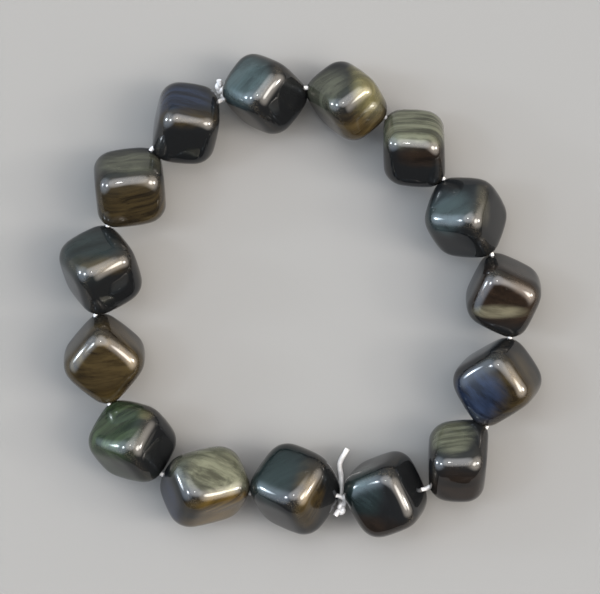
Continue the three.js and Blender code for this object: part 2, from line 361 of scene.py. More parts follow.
lying = turned(shaped, given["Middle"], given["Turn"])
print("the tree turns a stone about the origin and then moves it out to its place")

# %% [markdown]
# On the string the stones rub against each other, corner to corner. So each one is drawn out a
# little along its hole until its two corners all but reach the half-way points to its neighbours.
# A straight stretch would need the same factor on both sides. A gentle curve, with one part that
# grows with the distance and one that grows with its square, takes a different reach on each.

# %% Let neighbours all but touch
laid = wires.add("GeometryNodeInputPosition")
from_centre = wires.vector("SUBTRACT", laid, given["Middle"])
along = wires.vector("DOT_PRODUCT", from_centre, given["Hole direction"])
extent = {"Geometry": lying, "Attribute": along}
ahead = wires.named("GeometryNodeAttributeStatistic", extent, "Max")
behind = wires.number("MULTIPLY", ahead.node.outputs["Min"], -1.0)
short_ahead = wires.number("SUBTRACT", given["Reach ahead"], ahead)
short_behind = wires.number("SUBTRACT", given["Reach behind"], behind)
rate_ahead = wires.number("DIVIDE", short_ahead, ahead)
rate_behind = wires.number("DIVIDE", short_behind, behind)
rate_change = wires.number("SUBTRACT", rate_ahead, rate_behind)
curve = wires.number("DIVIDE", rate_change, wires.number("ADD", ahead, behind))
slope = wires.number("SUBTRACT", rate_ahead, wires.number("MULTIPLY", curve, ahead))
draw = wires.number("ADD", wires.number("MULTIPLY", curve, along), slope)
drawn_by = wires.scaled(given["Hole direction"], wires.number("MULTIPLY", draw, along))
stretched = move_points(lying, wires.vector("ADD", laid, drawn_by))
print("the stretched bead rule has", len(bead_tree.nodes), "nodes")

# %% [markdown]
# A drill chips glass where it goes in and comes out. The bit is a cylinder with a cone at each end,
# and a boolean takes it out of the stone. The lowest point is worn flat, which needs no boolean:
# no point may be lower than the surface.

# %% Drill the hole and wear the lowest point flat
HOLE_RADIUS = 0.5  # millimetres, as the next four
MOUTH_RADIUS = 0.6  # of the chipped mouth, at the half-way point
MOUTH_DEPTH = 0.1
MOUTH_STAND_OFF = 0.6  # the cone runs on this far past the half-way point
BIT_LENGTH = 30.0  # well past both sides of any bead
BIT_SIDES = 48
NO_LIMIT = -1000.0  # lower than any point, so that only the height is held back
SHARP_ANGLE = 38  # an edge that bends more than this many degrees is shaded as a hard edge

way = {"Vector": given["Hole direction"]}
aligned = wires.named("FunctionNodeAlignRotationToVector", way, axis="Z")
bit = wires.add("GeometryNodeMeshCylinder", BIT_SIDES, 1, 1, HOLE_RADIUS, BIT_LENGTH)
mouth_slope = (MOUTH_RADIUS - HOLE_RADIUS) / MOUTH_DEPTH
cone_length = MOUTH_DEPTH + MOUTH_STAND_OFF
cone_top = MOUTH_RADIUS + mouth_slope * MOUTH_STAND_OFF
parts = [bit]

# A cone's first radius is its upper one. One mouth widens upwards, the other downwards.
for sign, radii in ((1, (cone_top, HOLE_RADIUS)), (-1, (HOLE_RADIUS, cone_top))):
    cone = wires.add("GeometryNodeMeshCone", BIT_SIDES, 1, 1, radii[0], radii[1], cone_length)
    lift = wires.number("SUBTRACT", given["Hole half length"], MOUTH_DEPTH)
    if sign < 0:
        lift = wires.number("MULTIPLY", wires.number("ADD", lift, cone_length), -1.0)
    place = wires.add("ShaderNodeCombineXYZ", 0.0, 0.0, lift)
    parts.append(turned(cone, place, None))

drilled = wires.named("GeometryNodeMeshBoolean", {"Mesh 1": stretched}, "Mesh",
                      operation="DIFFERENCE", solver="MANIFOLD")
for part in parts:
    placed = turned(part, given["Hole middle"], aligned)
    wires.feed(drilled.node.inputs["Mesh 2"], placed)

here = wires.add("GeometryNodeInputPosition")
flat = wires.vector("MAXIMUM", here, (NO_LIMIT, NO_LIMIT, 0.0))
rested = move_points(drilled, flat)
metres = turned(rested, None, None, (MM, MM, MM))

# The tree ends with the hard edges of the hole, and with the bead's own material.
bend = wires.add("GeometryNodeInputMeshEdgeAngle")
sharp = wires.number("GREATER_THAN", bend, math.radians(SHARP_ANGLE))
hard_edges = {"Geometry": metres, "Selection": sharp, "Shade Smooth": False}
edged = wires.named("GeometryNodeSetShadeSmooth", hard_edges, domain="EDGE")
end_tree(wires, edged, given["Material"])
print("the whole bead rule has", len(bead_tree.nodes), "nodes")

# %% [markdown]
# A tree is used through a modifier. Its inputs are set by their identifiers, the object is
# evaluated once, and the result is kept as a plain mesh, so that nothing depends on the tree later.

# %% Turn a tree's result into a plain mesh
def inputs_by_label(tree):
    return {item.name: item.identifier for item in tree.interface.items_tree
            if item.in_out == "INPUT" and item.socket_type != "NodeSocketGeometry"}


def made_by_tree(name, tree, values, start=None):
    """Evaluates a geometry tree once and gives a new object that holds only the finished mesh."""
    maker = new_object(name + "_maker", start or bpy.data.meshes.new(name + "_start"))
    modifier = maker.modifiers.new("tree", "NODES")
    modifier.node_group = tree
    for label, identifier in inputs_by_label(tree).items():
        modifier[identifier] = values[label]
    evaluated = maker.evaluated_get(bpy.context.evaluated_depsgraph_get())
    mesh = bpy.data.meshes.new_from_object(evaluated)
    mesh.name = name
    maker.modifiers.remove(modifier)
    bpy.data.objects.remove(maker)
    return new_object(name, mesh)


print("the bead rule asks for", list(inputs_by_label(bead_tree)))

# %% [markdown]
# Obsidian is glass. Its polish is a clear, smooth coat, and below it the stone is nearly black,
# with flow bands in it. Where fine bubbles were drawn out in the flow, the stone throws back a soft
# gold or olive sheen from just under the polish. So the material has a rough, faintly metallic
# layer where the sheen is and where some faces get a painted reflection of the room, black glass
# elsewhere, and one smooth coat over both.

# %% Helpers for shader nodes
OBJECT_COORDINATES = 3  # the place of that output on the Texture Coordinate node


def new_material(name):
    """A node material, its shader and the helper that wires its tree."""
    material = bpy.data.materials.new(name)
    material.use_nodes = True
    tree = material.node_tree
    shader = tree.nodes["Principled BSDF"]
    return material, shader, Wires(tree)


def mixed(wires, factor, first, second):
    """The first colour where the factor is 0, the second where it is 1."""
    return wires.named("ShaderNodeMix", {0: factor, 6: first, 7: second}, 2, data_type="RGBA")


def noisy(wires, vector, scale, detail=3.0, roughness=0.5):
    return wires.named("ShaderNodeTexNoise", {
        "Vector": vector, "Scale": scale, "Detail": detail, "Roughness": roughness,
    })


def mapped(wires, vector, shift, turn, scale, kind="POINT"):
    """The vector shifted, turned by an angle in degrees about each axis, and scaled."""
    rotation = [math.radians(angle) for angle in turn]
    inputs = {"Vector": vector, "Location": shift, "Rotation": rotation, "Scale": scale}
    return wires.named("ShaderNodeMapping", inputs, vector_type=kind)


def bumped(wires, height, strength, depth):
    """The surface's direction with a relief so many millimetres deep."""
    inputs = {"Height": height, "Strength": strength, "Distance": depth * MM}
    return wires.named("ShaderNodeBump", inputs)


print("helpers for shader nodes:", [f.__name__ for f in (mixed, noisy, mapped, bumped)])

# %% [markdown]
# Every sheen, and every painted reflection of the room's light, lies in its own place. A patch is a
# soft ball round a point on the bead, cut up by flow bands that run one way. The bands are noise
# that is stretched along the flow and pressed together across it, and a slower noise bends them.
# Each bead is looked up in its own part of the noise, so no two stones have the same bands.

# %% The places of sheen and of painted reflection
GLASS_BLACK = (0.0035, 0.0038, 0.0042, 1)
NOISE_SHIFT = (7.3, 3.1, 5.7)  # how far one bead's noise lies from the next bead's, in millimetres
BAND_LENGTH = (0.08, 0.14)  # waves to a millimetre along the flow, on its two long sides
BAND_DETAIL = 6.0
BAND_GRAIN = 0.68  # how strong the finest bands are beside the broadest
BEND_WAVES = 0.13  # waves to a millimetre of the noise that bends the bands
RAGGED_WAVES = 0.35  # and of the noise that makes a patch's rim ragged
PATCH_RIM = (0.65, 1.45)  # a patch fades out between these shares of its reach
BAND_RANGE = (0.34, 0.66)  # noise below is the deep tone, above the bright one


def patch(tone, at, reach, strength, flow, bands=0.7, bend=1.2, ragged=0.5, metal=0.75):
    """One place of sheen or painted reflection: its tone, middle, half sizes, strength, and how its
    flow bands run.
    """
    return {**tone, "at": at, "reach": reach, "strength": strength, "flow": flow,
            "bands": bands, "bend": bend, "ragged": ragged, "metal": metal}


def sheen_and_reflection_of(wires, local, shifted, patches):
    """The colour, the strength and the metal of all patches together, painted reflections among them.
    """
    bend = noisy(wires, shifted, BEND_WAVES, 1.0)
    colour = GLASS_BLACK
    sheen = 0.0
    metal = 0.0
    for place in patches:
        flow = mapped(wires, shifted, (0, 0, 0), place["flow"], (*BAND_LENGTH, place["bands"]))
        bent = wires.vector("ADD", flow, wires.scaled(bend, place["bend"]))
        band = noisy(wires, bent, 1.0, BAND_DETAIL, BAND_GRAIN)
        offset = wires.vector("SUBTRACT", local, place["at"])
        reach = wires.vector("LENGTH", wires.vector("DIVIDE", offset, place["reach"]))
        rim_noise = noisy(wires, shifted, RAGGED_WAVES)
        ragged = wires.number("MULTIPLY", rim_noise, place["ragged"])
        spot = wires.ramped(wires.number("ADD", reach, ragged), *PATCH_RIM, 1.0, 0.0)
        lit = wires.ramped(band, *BAND_RANGE)
        strength = wires.number("MULTIPLY", spot, place["strength"])
        tint = mixed(wires, lit, place["deep"], place["bright"])
        colour = mixed(wires, strength, colour, tint)
        sheen = wires.number("MAXIMUM", sheen, strength)
        metal = wires.number("MAXIMUM", metal, wires.number("MULTIPLY", strength, place["metal"]))
    return colour, sheen, metal


print("noise below", BAND_RANGE[0], "is the deep tone and above", BAND_RANGE[1], "the bright one")

# %% [markdown]
# The polish is never perfect. Where stones rub, on the edges, it has a faint brown frost. Slow
# waves, a few scratches that run one way and a few pits are too fine to model, so they are a bump
# of about a hundredth of a millimetre.

# %% The polish's small faults
EDGE_BROWN = (0.09, 0.075, 0.055, 1)
WORN_EDGE = (0.10, 0.34)  # the wear number where frost starts and where it is full
FROST_SCALE = 6.0  # specks of edge wear to a millimetre
FROST_DETAIL = 4.0
FROST_GRAIN = 0.7  # how strong the finest specks are beside the broadest
FROST_RANGE = (0.48, 0.68)
FROST_HEIGHT = 0.06  # this and the next three are shares of the fault depth
SCRATCH_HEIGHT = -0.5
PIT_HEIGHT = -1.0
WAVE_HEIGHT = 2.0
FAULT_DEPTH = 0.012  # millimetres
SCRATCH_WAVES = (0.35, 7.0, 7.0)  # waves to a millimetre, along the scratches and across
SCRATCH_RANGE = (0.7, 0.8)  # only the noise's few highest places are scratches
SCRATCH_TURN = (20, 0, 50)  # degrees that each bead's scratches are turned past the last one's
SCRATCH_LEAN = (0, 35, 0)
PITS_PER_MM = 0.9
PIT_RIM = (0.02, 0.08)  # a pit is deep up to the first distance and ends at the second
WAVES_PER_MM = 0.28


def frost_on_edges(wires, shifted):
    """Specks, 0 to 1, that come only where the wear number is high."""
    edge = wires.add("ShaderNodeAttribute", out="Fac", attribute_name="edge_wear")
    on_edge = wires.ramped(edge, *WORN_EDGE)
    specks = noisy(wires, shifted, FROST_SCALE, FROST_DETAIL, FROST_GRAIN)
    return wires.number("MULTIPLY", on_edge, wires.ramped(specks, *FROST_RANGE))


def fine_relief(wires, shifted, rubbed, seed):
    """A bump of slow waves, scratches, pits and the frost's grain."""
    scratch_turn = [seed * turn + lean for turn, lean in zip(SCRATCH_TURN, SCRATCH_LEAN)]
    scratch_way = mapped(wires, shifted, (0, 0, 0), scratch_turn, SCRATCH_WAVES)
    scratch_noise = noisy(wires, scratch_way, 1.0, 2.0)
    scratches = wires.ramped(scratch_noise, *SCRATCH_RANGE, 0.0, SCRATCH_HEIGHT)
    cells = {"Vector": shifted, "Scale": PITS_PER_MM}
    pits = wires.named("ShaderNodeTexVoronoi", cells, "Distance")
    pitted = wires.ramped(pits, *PIT_RIM, PIT_HEIGHT, 0.0)
    waves = wires.number("MULTIPLY", noisy(wires, shifted, WAVES_PER_MM, 0.0), WAVE_HEIGHT)
    grain = wires.number("MULTIPLY", rubbed, FROST_HEIGHT)
    cuts = wires.number("ADD", scratches, pitted)
    relief = wires.number("ADD", cuts, wires.number("ADD", waves, grain))
    return bumped(wires, relief, 1.0, FAULT_DEPTH)


print("the polish's faults are", FAULT_DEPTH, "mm deep")

# %% [markdown]
# Now the stone itself. Obsidian's own refraction is 1.49, but each steep face mirrors the pale floor
# that the bracelet lies on, which greys the stone's black. A coat of 1.42 mirrors a little less and
# keeps the faces dark. The layer below has no second mirror of its own.

# %% The obsidian material
POLISH_ROUGHNESS = 0.03
POLISH_REFRACTION = 1.42
GLASS_ROUGHNESS = 0.08  # of the layer below the polish, where it has no sheen
SHEEN_ROUGHNESS = 0.32  # what the full sheen adds to it, and what the frost adds
FROST_ROUGHNESS = 0.2
FROST_TINT = 0.35  # how much of the frost's brown covers the stone's colour


def obsidian(name, middle, patches, seed):
    """Black glass with the given patches of sheen, for the bead whose middle is at middle."""
    material, shader, wires = new_material(name)
    place = wires.add("ShaderNodeTexCoord", out=OBJECT_COORDINATES)
    local = mapped(wires, place, tuple(middle * MM), (0, 0, 0), (MM, MM, MM), "TEXTURE")
    shift = [seed * step for step in NOISE_SHIFT]
    shifted = mapped(wires, local, shift, (0, 0, 0), (1, 1, 1))
    # the colour holds the stone's sheen and, on some faces, painted reflections of the room's light
    colour, sheen, metal = sheen_and_reflection_of(wires, local, shifted, patches)
    rubbed = frost_on_edges(wires, shifted)
    frost_tint = wires.number("MULTIPLY", rubbed, FROST_TINT)
    rough = wires.number("MULTIPLY", sheen, SHEEN_ROUGHNESS)
    rough = wires.number("ADD", rough, GLASS_ROUGHNESS)
    frosted = wires.number("MULTIPLY", rubbed, FROST_ROUGHNESS)
    relief = fine_relief(wires, shifted, rubbed, seed)
    wires.fill(shader, {
        "Base Color": mixed(wires, frost_tint, colour, EDGE_BROWN),
        "Metallic": metal,
        "Roughness": wires.number("ADD", rough, frosted),
        "Normal": relief,
        "Specular IOR Level": 0.0,
        "Coat Weight": 1.0,
        "Coat Roughness": POLISH_ROUGHNESS,
        "Coat IOR": POLISH_REFRACTION,
        "Coat Normal": relief,
    })
    return material


# %% [markdown]
# What the sheen and the painted reflections look like on each bead: its place is in millimetres
# from the bead's middle, with +X to the picture's right, +Y to its top and +Z towards the viewer.
# Seven beads have a strong gold, olive or green sheen, and the others only a breath of brown. The
# mist, teal and grey-blue patches and the beige band are painted reflections of the room's light,
# the olive grey on the upward faces is partly one, and the small khaki patch on bead 11 is a
# painted glint.

# %% Where each bead has its sheen and its painted reflections
# Khaki is the gold sheen on bead 2's ridge and, on bead 11, a small painted yellow glint.
KHAKI_SHEEN_AND_GLINT = {"deep": (0.05, 0.045, 0.018, 1), "bright": (0.16, 0.145, 0.07, 1)}
# Olive grey is partly the stone's own flow bands and partly a painted reflection of the room's grey
# light on faces that look up.
OLIVE_GREY_BANDS_AND_REFLECTION = {"deep": (0.032, 0.033, 0.022, 1), "bright": (0.13, 0.135, 0.095, 1)}
GREEN = {"deep": (0.006, 0.010, 0.005, 1), "bright": (0.029, 0.042, 0.021, 1)}
DARK_GOLD = {"deep": (0.009, 0.006, 0.003, 1), "bright": (0.048, 0.034, 0.014, 1)}
BROWN = {"deep": (0.005, 0.0035, 0.0028, 1), "bright": (0.019, 0.012, 0.008, 1)}
AMBER = {"deep": (0.022, 0.013, 0.003, 1), "bright": (0.09, 0.058, 0.014, 1)}
# Painted reflection: beige paints a window's light as a curved band on bead 5 and a faint strip near
# bead 4's top.
BEIGE_REFLECTION = {"deep": (0.045, 0.04, 0.026, 1), "bright": (0.15, 0.138, 0.095, 1)}
# Painted reflections: mist and teal paint the room's grey-teal light on faces that lean up and to the
# left.
MIST_REFLECTION = {"deep": (0.022, 0.031, 0.032, 1), "bright": (0.05, 0.072, 0.075, 1)}
TEAL_REFLECTION = {"deep": (0.004, 0.008, 0.008, 1), "bright": (0.014, 0.022, 0.022, 1)}
# Painted reflection: slate blue paints the room's blue light on the left and upper faces of beads 6, 10
# and 15.
SLATE_BLUE_REFLECTION = {"deep": (0.004, 0.006, 0.012, 1), "bright": (0.016, 0.025, 0.05, 1)}

# The mist, teal, slate-blue and beige patches paint reflections of the room's light; olive grey is
# partly flow bands and partly painted reflection; khaki on bead 11 is a painted glint.
SHEENS_AND_REFLECTIONS = [
    [patch(MIST_REFLECTION, (-2.6, 1.6, 3.4), (4.2, 4.2, 3.4), 0.9, (60, 0, 30))],
    [patch(OLIVE_GREY_BANDS_AND_REFLECTION, (-3, 1, 3), (4, 4, 4), 0.3, (60, 0, 50)),
     patch(KHAKI_SHEEN_AND_GLINT, (2.8, 2, 2), (2.8, 6, 6), 0.7, (70, 10, -50)),
     patch(DARK_GOLD, (1.5, -4.2, 1), (6.5, 4.2, 5), 0.9, (60, 10, 40), bands=1.4, metal=0.5)],
    [patch(OLIVE_GREY_BANDS_AND_REFLECTION, (0, 3.6, 3), (7, 4.2, 5), 1.0, (85, 0, 0), bands=1.5, bend=1.0),
     patch(BROWN, (1, -1, 3.5), (4, 2, 3), 0.8, (80, 0, 0))],
    [patch(MIST_REFLECTION, (-2.4, 0.6, 3.6), (4.4, 3.4, 3.4), 0.45, (60, 0, 80)),
     patch(BEIGE_REFLECTION, (2.0, 1, 4.4), (1.4, 5, 3), 0.1, (60, 0, 80), ragged=1.0)],
    [patch(BROWN, (0, 0, 4), (6, 5, 4), 1.0, (75, 0, 15), bend=0.6),
     patch(BEIGE_REFLECTION, (-0.8, -2.4, 3.6), (3.8, 1.0, 3), 0.8, (84, 0, 14), bands=1.6, bend=0.5, ragged=0.3)],
    [patch(DARK_GOLD, (1, -2, 3), (5, 6, 5), 0.8, (60, 0, 30)),
     patch(SLATE_BLUE_REFLECTION, (-2.4, -2.0, 3), (4.2, 4.2, 4), 1.0, (60, 0, 60), bands=1.2)],
    [patch(OLIVE_GREY_BANDS_AND_REFLECTION, (-1, 4, 3), (3.6, 3.0, 4), 0.7, (80, 0, 0), bands=1.2),
     patch(BROWN, (0, -3, 2), (5, 5, 4), 0.7, (75, 0, 0))],
    [patch(TEAL_REFLECTION, (-3.5, 1, 3), (3.6, 4, 4), 1.0, (60, 30, 40)),
     patch(BROWN, (-1, -4.5, 1), (7, 2.6, 4), 0.7, (70, 0, 0))],
    [patch(TEAL_REFLECTION, (-3, 2, 3), (5, 5, 4), 0.8, (60, 0, 45)),
     patch(DARK_GOLD, (1.6, -1, 4), (2.4, 5, 4), 0.9, (60, 0, 70))],
    [patch(OLIVE_GREY_BANDS_AND_REFLECTION, (1.5, 2.6, 3), (6, 4.4, 5), 0.9, (75, 0, 25), bands=1.0, bend=2.8),
     patch(AMBER, (2.2, -2.0, 3.2), (5.5, 2.0, 4), 0.9, (80, 0, 10), bands=1.2),
     patch(AMBER, (1.5, -5.0, -1), (7, 3.8, 5), 0.6, (80, 0, 0), bands=1.3, metal=0.15),
     patch(SLATE_BLUE_REFLECTION, (-5.2, -3.0, 1), (2.6, 5, 5), 0.4, (80, 0, 0), bands=0.8, metal=0.1)],
    [patch(GREEN, (-3, 2, 3), (5.5, 6, 5), 1.0, (65, 0, 60), bands=0.8, bend=0.8, metal=0.5),
     # a small painted yellow glint on bead 11's upper right
     patch(KHAKI_SHEEN_AND_GLINT, (2, 3.8, 3.6), (1.6, 1.3, 2), 0.35, (80, 0, 0), ragged=1.0),
     patch(GREEN, (-2, -5, 0), (6, 3, 4), 0.5, (80, 0, 0), metal=0.1)],
    [patch(DARK_GOLD, (0, -1, 3), (7, 7, 6), 0.9, (70, 0, 35), bands=0.9),
     patch(AMBER, (1, -5.4, 0), (4, 2, 4), 0.3, (80, 0, 0), metal=0.4)],
    [patch(TEAL_REFLECTION, (-2, 2, 3), (5, 5, 4), 0.7, (60, 0, 0)),
     patch(DARK_GOLD, (0, 0.6, 4.6), (5, 1.6, 3), 0.5, (60, 0, 25))],
    [patch(DARK_GOLD, (0, -2.4, 2.4), (6.5, 4.6, 5), 0.75, (75, 0, 0), bands=1.3),
     patch(OLIVE_GREY_BANDS_AND_REFLECTION, (0, 3.4, 3), (5, 2.6, 4), 0.3, (80, 0, 0))],
    [patch(SLATE_BLUE_REFLECTION, (-1, 3.2, 3), (5, 3.4, 4), 0.7, (75, 0, -20), bands=1.2),
     patch(DARK_GOLD, (0, 0.4, 4.6), (5, 1.6, 3), 0.5, (80, 0, -10))],
]

materials = []
for number, (bead, patches) in enumerate(zip(BEADS, SHEENS_AND_REFLECTIONS), 1):
    name = f"polished_obsidian_{number:02d}"
    materials.append(obsidian(name, bead["middle"], patches, number))
print("made", len(materials), "obsidian finishes")

# %% [markdown]
# Each bead is now made once, with its own numbers. The two places where the cord is tied get more
# room between the stones, as a knot hangs from the gap.

# %% Make the beads
CELLS = 56  # points along each side of the cube that a bead is made from
NEIGHBOUR_ROOM = 0.03  # millimetres that each stone stops short of the half-way point
KNOT_ROOM = 0.25  # and where the cord is tied
NEAR_KNOT_AFTER = 8  # the cord is tied after this many beads
FAR_KNOT_AFTER = 15
TIED_AFTER = (NEAR_KNOT_AFTER, FAR_KNOT_AFTER)

for number, bead in enumerate(BEADS, 1):
    half_sides = Vector(bead["sides"]) / 2
    mean_half = sum(half_sides) / 3
    hole = bead["cord_leaves"] - bead["cord_enters"]
    direction = hole.normalized()
    ahead = (bead["cord_leaves"] - bead["middle"]).dot(direction)
    behind = (bead["middle"] - bead["cord_enters"]).dot(direction)
    number_before = number - 1 or len(BEADS)
    room_ahead = KNOT_ROOM if number in TIED_AFTER else NEIGHBOUR_ROOM
    room_behind = KNOT_ROOM if number_before in TIED_AFTER else NEIGHBOUR_ROOM
    piece = made_by_tree(f"tumbled_bead_{number:02d}", bead_tree, {
        "Half sides": half_sides,
        "Edge radius": EDGE_ROUND * 2 * mean_half,
        "Ball radius": mean_half * CROWN_BALL,
        "Cells": CELLS,
        "Seed": float(number),
        "Middle": bead["middle"],
        "Turn": Vector(bead["turn"].to_euler()),
        "Hole middle": (bead["cord_leaves"] + bead["cord_enters"]) / 2,
        "Hole direction": direction,
        "Hole half length": hole.length / 2,
        "Reach ahead": ahead - room_ahead,
        "Reach behind": behind - room_behind,
        "Material": materials[number - 1],
    })
    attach(piece, "root")
    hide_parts(bead["node"])
    bead["piece"] = piece
print("each bead has about", len(BEADS[0]["piece"].data.polygons), "faces")

# %% [markdown]
# The cord is white elastic, eight tenths of a millimetre thick where it is loose. Inside the ring
# it is drawn tight, so it is thinner there. It runs straight through each hole and is tied twice,
# and its cut tails stand out of the knots. Its route is a list of points, in millimetres.

# %% The cord's route
CORD_RADIUS = 0.4  # where it is loose, in the knots
TAIL_RADIUS = 0.37
STRETCHED_RADIUS = 0.31
BEND_REACH = 0.4  # the cord bends within this distance of each half-way point
KNOT_NEAR = (5.9, -31.0, 4.6)
KNOT_FAR = (-11.8, 30.2, 3.5)
DROP_TO_KNOT_NEAR = [(6.4, -29.8, 5.5)]
DROP_TO_KNOT_FAR = [(-11.3, 28.5, 4.1), (-11.5, 29.3, 3.6)]
TAILS = [
    [KNOT_NEAR, (5.8, -29.5, 2.9), (5.9, -28, 2.3), (5.9, -26.4, 2.3), (5.7, -24.6, 2.6),
     (6.8, -22.4, 2.9)],
    [KNOT_NEAR, (5.4, -31.4, 5), (5, -32, 5.1)],
    [KNOT_FAR, (-11.8, 30.7, 4.4), (-11.9, 31.3, 4.8)],
]


def threaded(beads):
    """Two points in each bead's hole, so that the cord is straight between them."""
    points = []
    for bead in beads:
        along = (bead["cord_leaves"] - bead["cord_enters"]).normalized()
        points.append(bead["cord_enters"] + along * BEND_REACH)
        points.append(bead["cord_leaves"] - along * BEND_REACH)
    return points


near_end = [KNOT_NEAR, *reversed(DROP_TO_KNOT_NEAR)]
far_end = [KNOT_FAR, *reversed(DROP_TO_KNOT_FAR)]
first_length = [*near_end, *threaded(BEADS[NEAR_KNOT_AFTER:]), *reversed(far_end)]
second_length = [*far_end, *threaded(BEADS[:NEAR_KNOT_AFTER]), *reversed(near_end)]
length = 0
for route in (first_length, second_length, *TAILS):
    length += sum((Vector(b) - Vector(a)).length for a, b in zip(route, route[1:]))
print("the cord is", round(length), "mm long without what is tied up in its knots")

# %% [markdown]
# Elastic is equally thick all along, so its shape is a circle that is swept along a route. The tree
# takes the route as a line of points, cuts it in even steps and sweeps the circle.

# %% The rule for a strand of cord
strand_tree, given, wires = tree_with_inputs("elastic_strand", [
    ("Radius", "NodeSocketFloat"),
    ("Step", "NodeSocketFloat"),
    ("Sides", "NodeSocketInt"),
    ("Material", "NodeSocketMaterial"),
])
path = wires.add("GeometryNodeMeshToCurve", given["Geometry"])
steps = {"Curve": path, "Length": given["Step"]}
even = wires.named("GeometryNodeResampleCurve", steps, mode="LENGTH")
circle = {"Resolution": given["Sides"], "Radius": given["Radius"]}
section = wires.named("GeometryNodeCurvePrimitiveCircle", circle)
sweep = {"Curve": even, "Profile Curve": section, "Fill Caps": True}
tube = wires.named("GeometryNodeCurveToMesh", sweep)
end_tree(wires, wires.add("GeometryNodeSetShadeSmooth", tube), given["Material"])
print("the strand rule has", len(strand_tree.nodes), "nodes")

# %% [markdown]
# The route's corners are eased before the tree sees them, by a curve that goes through every point.

# %% Ease the route
ROUTE_STEPS = 10  # short steps between two points of a route
SHORTEST_SPAN = 1e-4  # keeps two points in one place from dividing by nothing


def smooth_route(points, steps=ROUTE_STEPS):
    """A smooth curve that goes through every point, as a list of points close together."""
    known = [Vector(p) for p in points]
    known = [2 * known[0] - known[1], *known, 2 * known[-1] - known[-2]]
    route = []
    for a, b, c, d in zip(known, known[1:], known[2:], known[3:]):
        spans = [max((q - p).length ** 0.5, SHORTEST_SPAN) for p, q in ((a, b), (b, c), (c, d))]
        t1, t2 = spans[0], spans[0] + spans[1]
        t3 = t2 + spans[2]
        for step in range(steps):
            t = t1 + (t2 - t1) * step / steps
            ab = a.lerp(b, t / t1)
            bc = b.lerp(c, (t - t1) / (t2 - t1))
            cd = c.lerp(d, (t - t2) / (t3 - t2))
            abc = ab.lerp(bc, t / t2)
            bcd = bc.lerp(cd, (t - t1) / (t3 - t1))
            route.append(abc.lerp(bcd, (t - t1) / (t2 - t1)))
    route.append(known[-2])
    return route


def line_mesh(name, points):
    """A chain of edges through the points, which are in millimetres."""
    mesh = bpy.data.meshes.new(name)
    edges = [(i, i + 1) for i in range(len(points) - 1)]
    mesh.from_pydata([tuple(p * MM) for p in points], edges, [])
    return mesh


print("the first route has", len(smooth_route(first_length)), "points")

# %% [markdown]
# The elastic is smooth, milky and a little glossy. Two fine noises mottle its white and break its
# gloss, and light passes a short way into it.

# %% The elastic material
ELASTIC_DULL = (0.32, 0.315, 0.32, 1)
ELASTIC_WHITE = (0.43, 0.425, 0.43, 1)
GLOSS_RANGE = (0.28, 0.42)
NOISE_SPREAD = (0.3, 0.7)  # nearly all of a noise lies between these
MOTTLE_PER_MM = 1.4
GLOSS_PER_MM = 6.0
GRAIN_PER_MM = 9.0
GRAIN_DEPTH = 0.01  # millimetres
GRAIN_STRENGTH = 0.6
MILKINESS = 0.25  # share of the light that passes into the elastic
LIGHT_DEPTH = 0.3  # how far it goes, in millimetres
LIGHT_SHARES = (1.0, 0.95, 0.9)  # of that depth, for red, green and blue


def elastic():
    """White elastic that is a little mottled and lets light in."""
    material, shader, wires = new_material("white_elastic_thread")
    place = wires.add("ShaderNodeTexCoord", out=OBJECT_COORDINATES)
    local = mapped(wires, place, (0, 0, 0), (0, 0, 0), (1 / MM, 1 / MM, 1 / MM))
    mottle = wires.ramped(noisy(wires, local, MOTTLE_PER_MM), *NOISE_SPREAD)
    gloss_noise = noisy(wires, local, GLOSS_PER_MM, 2.0)
    grain = noisy(wires, local, GRAIN_PER_MM)
    wires.fill(shader, {
        "Base Color": mixed(wires, mottle, ELASTIC_DULL, ELASTIC_WHITE),
        "Roughness": wires.ramped(gloss_noise, *NOISE_SPREAD, *GLOSS_RANGE),
        "Normal": bumped(wires, grain, GRAIN_STRENGTH, GRAIN_DEPTH),
        "Subsurface Weight": MILKINESS,
        "Subsurface Radius": LIGHT_SHARES,
        "Subsurface Scale": LIGHT_DEPTH * MM,
    })
    return material


elastic_material = elastic()
print("made the finish", elastic_material.name)

# %% [markdown]
# A knot is a strand too: a tight curve that passes over and under itself. A trefoil is the shortest
# such curve, and two numbers set how wide and how thick it is.

# %% Knots and tails
KNOT_SIZE = 0.2  # a third of a knot's reach from its middle, in millimetres
KNOT_THICKNESS = 0.24  # how far it rises and dips along its axis
KNOT_STEPS = 72
CORD_SIDES = 16
RING_STEP = 0.3  # millimetres from one circle of points to the next, round the ring
TAIL_STEP = 0.15
KNOT_STEP = 0.1


def trefoil(middle, across):
    """An overhand knot's curve round middle, with its axis along across."""
    side = across.cross(Vector((0, 0, 1))).normalized()
    up = side.cross(across)
    points = []
    for step in range(KNOT_STEPS + 1):
        t = step / KNOT_STEPS * math.tau
        x = (math.sin(t) + 2 * math.sin(2 * t)) * KNOT_SIZE
        y = (math.cos(t) - 2 * math.cos(2 * t)) * KNOT_SIZE
        z = -math.sin(3 * t) * KNOT_THICKNESS
        points.append(Vector(middle) + side * x + up * y + across * z)
    return points


def strand(name, points, step, radius=CORD_RADIUS):
    """A strand of cord along the points, as an object of its own."""
    return made_by_tree(name, strand_tree, {
        "Radius": radius * MM,
        "Step": step * MM,
        "Sides": CORD_SIDES,
        "Material": elastic_material,
    }, line_mesh(name + "_line", points))


